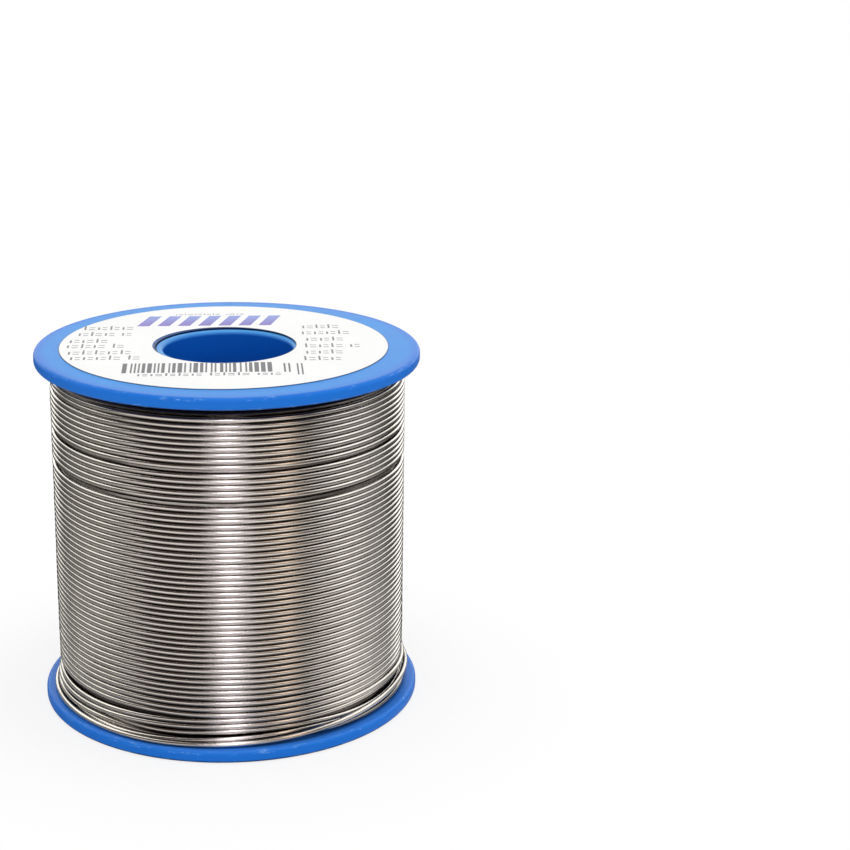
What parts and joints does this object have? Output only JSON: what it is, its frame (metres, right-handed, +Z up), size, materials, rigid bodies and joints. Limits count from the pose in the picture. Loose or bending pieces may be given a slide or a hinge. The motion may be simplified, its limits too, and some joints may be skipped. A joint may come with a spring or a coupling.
{
  "type": "solder wire spool",
  "caption": "Flanged plastic reel wound full with fine flux-cored solder wire, with a through bore for a spindle and a bare paper ring on its upper face.",
  "frame": {"origin": "centre of the lower flange's outer face, which the reel stands on", "axes": "+Z up along the spool's axis and the bore's; +X and +Y across the flange, with the wire's two ends on the +Y side"},
  "size_m": [0.055, 0.055, 0.0525],
  "materials": {
    "blue_plastic": "moulded polystyrene, satin gloss, slightly scuffed",
    "label_paper": "smooth white self-adhesive paper, printed with plain bars",
    "solder_wire": "bright drawn tin-lead wire, slightly tarnished between the turns",
    "flux_rosin": "amber rosin"
  },
  "bodies": {
    "root": {"hub_tube": "blue_plastic", "upper_flange": "blue_plastic", "lower_flange": "blue_plastic", "face_label": "label_paper", "wire_core": "solder_wire", "wire_turns": "solder_wire", "wire_start": "solder_wire", "wire_tail": "solder_wire", "flux_core": "flux_rosin"}
  },
  "joints": []
}
